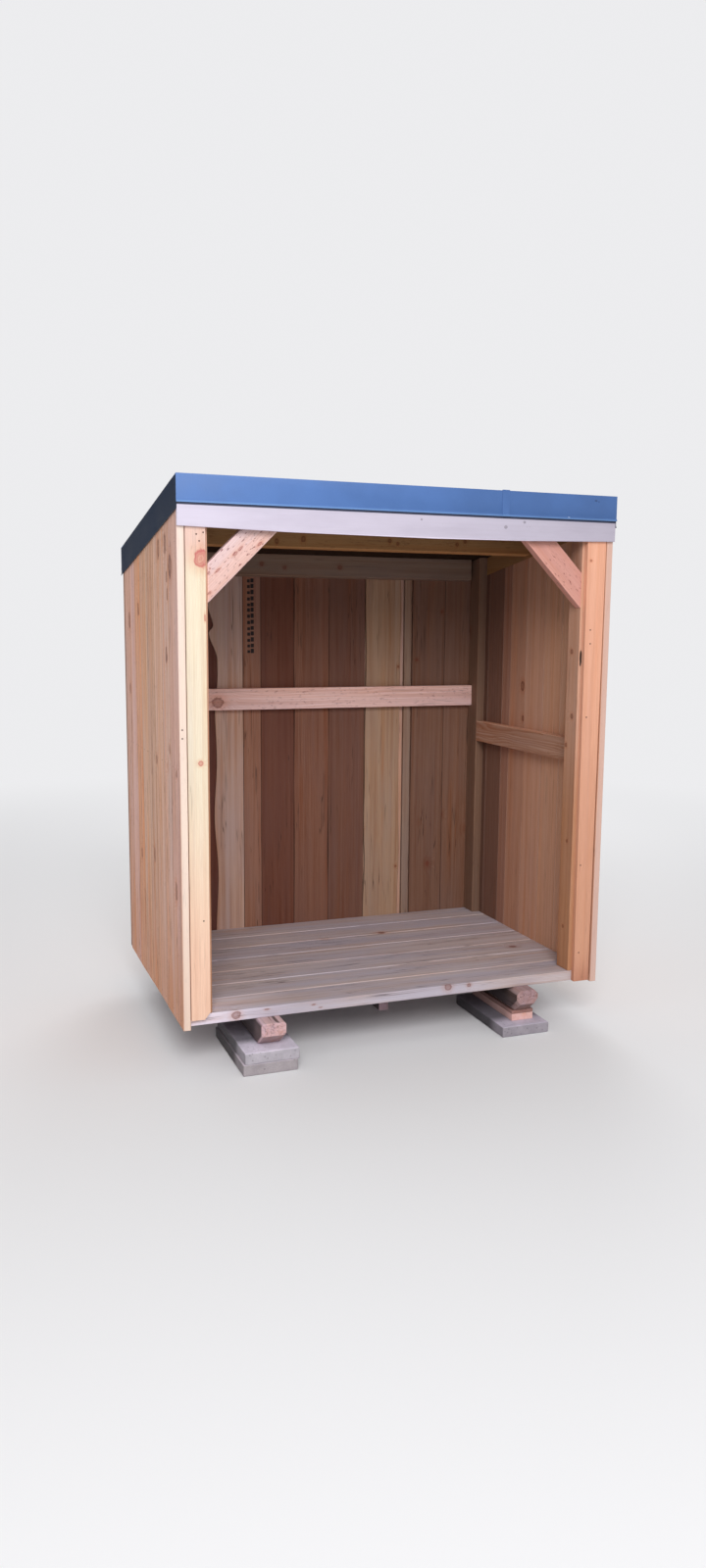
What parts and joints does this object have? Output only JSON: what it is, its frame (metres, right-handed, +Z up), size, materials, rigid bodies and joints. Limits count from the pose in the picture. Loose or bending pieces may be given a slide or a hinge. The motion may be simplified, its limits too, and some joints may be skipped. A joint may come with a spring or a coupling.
{
  "type": "log store",
  "caption": "Open-fronted timber log store with boarded walls, plank deck on skids and flat blocks, knee braces and a single-slope metal roof.",
  "frame": {"origin": "on the ground, under the centre of the footprint", "axes": "+X to the right seen from the open front, +Y from the front to the back, +Z up"},
  "size_m": [1.609, 1.18, 1.9823],
  "materials": {
    "wall_boards": "sawn, weathered",
    "back_boards": "sawn, dark red-brown",
    "deck_boards": "sawn, weathered grey",
    "skid_timber": "sawn, weathered",
    "packer_wood": "sawn, fresh",
    "post_wood": "planed",
    "facing_wood": "sawn, weathered",
    "rail_wood": "sawn",
    "brace_wood": "planed",
    "roof_timber": "planed",
    "sheathing_wood": "sawn",
    "fascia_wood": "painted white, weathered",
    "block_concrete": "cast, rough",
    "trim_metal": "satin blue",
    "roof_metal": "satin blue"
  },
  "bodies": {
    "root": {"back_middle_rail": "rail_wood", "back_top_rail": "rail_wood", "back_wall": "back_boards", "deck_boards": "deck_boards", "front_deck_board": "deck_boards", "front_fascia": "fascia_wood", "front_header": "roof_timber", "front_left_lower_block": "block_concrete", "front_left_post": "post_wood", "front_left_upper_block": "block_concrete", "front_right_block": "block_concrete", "front_right_packer": "packer_wood", "front_right_post": "post_wood", "front_trim_left": "trim_metal", "front_trim_right": "trim_metal", "left_front_facing": "facing_wood", "left_knee_brace": "brace_wood", "left_rake_board": "roof_timber", "left_rake_trim": "trim_metal", "left_side_rail": "rail_wood", "left_skid": "skid_timber", "left_wall": "wall_boards", "middle_joist": "skid_timber", "middle_purlin": "roof_timber", "rear_fascia": "fascia_wood", "rear_left_lower_block": "block_concrete", "rear_left_stud": "post_wood", "rear_left_upper_block": "block_concrete", "rear_right_block": "block_concrete", "rear_right_packer": "packer_wood", "rear_right_stud": "post_wood", "rear_trim": "trim_metal", "right_front_facing": "facing_wood", "right_knee_brace": "brace_wood", "right_rake_board": "roof_timber", "right_rake_trim": "trim_metal", "right_side_rail": "rail_wood", "right_skid": "skid_timber", "right_wall": "wall_boards", "roof_sheathing": "sheathing_wood", "roof_sheet": "roof_metal"}
  },
  "joints": []
}
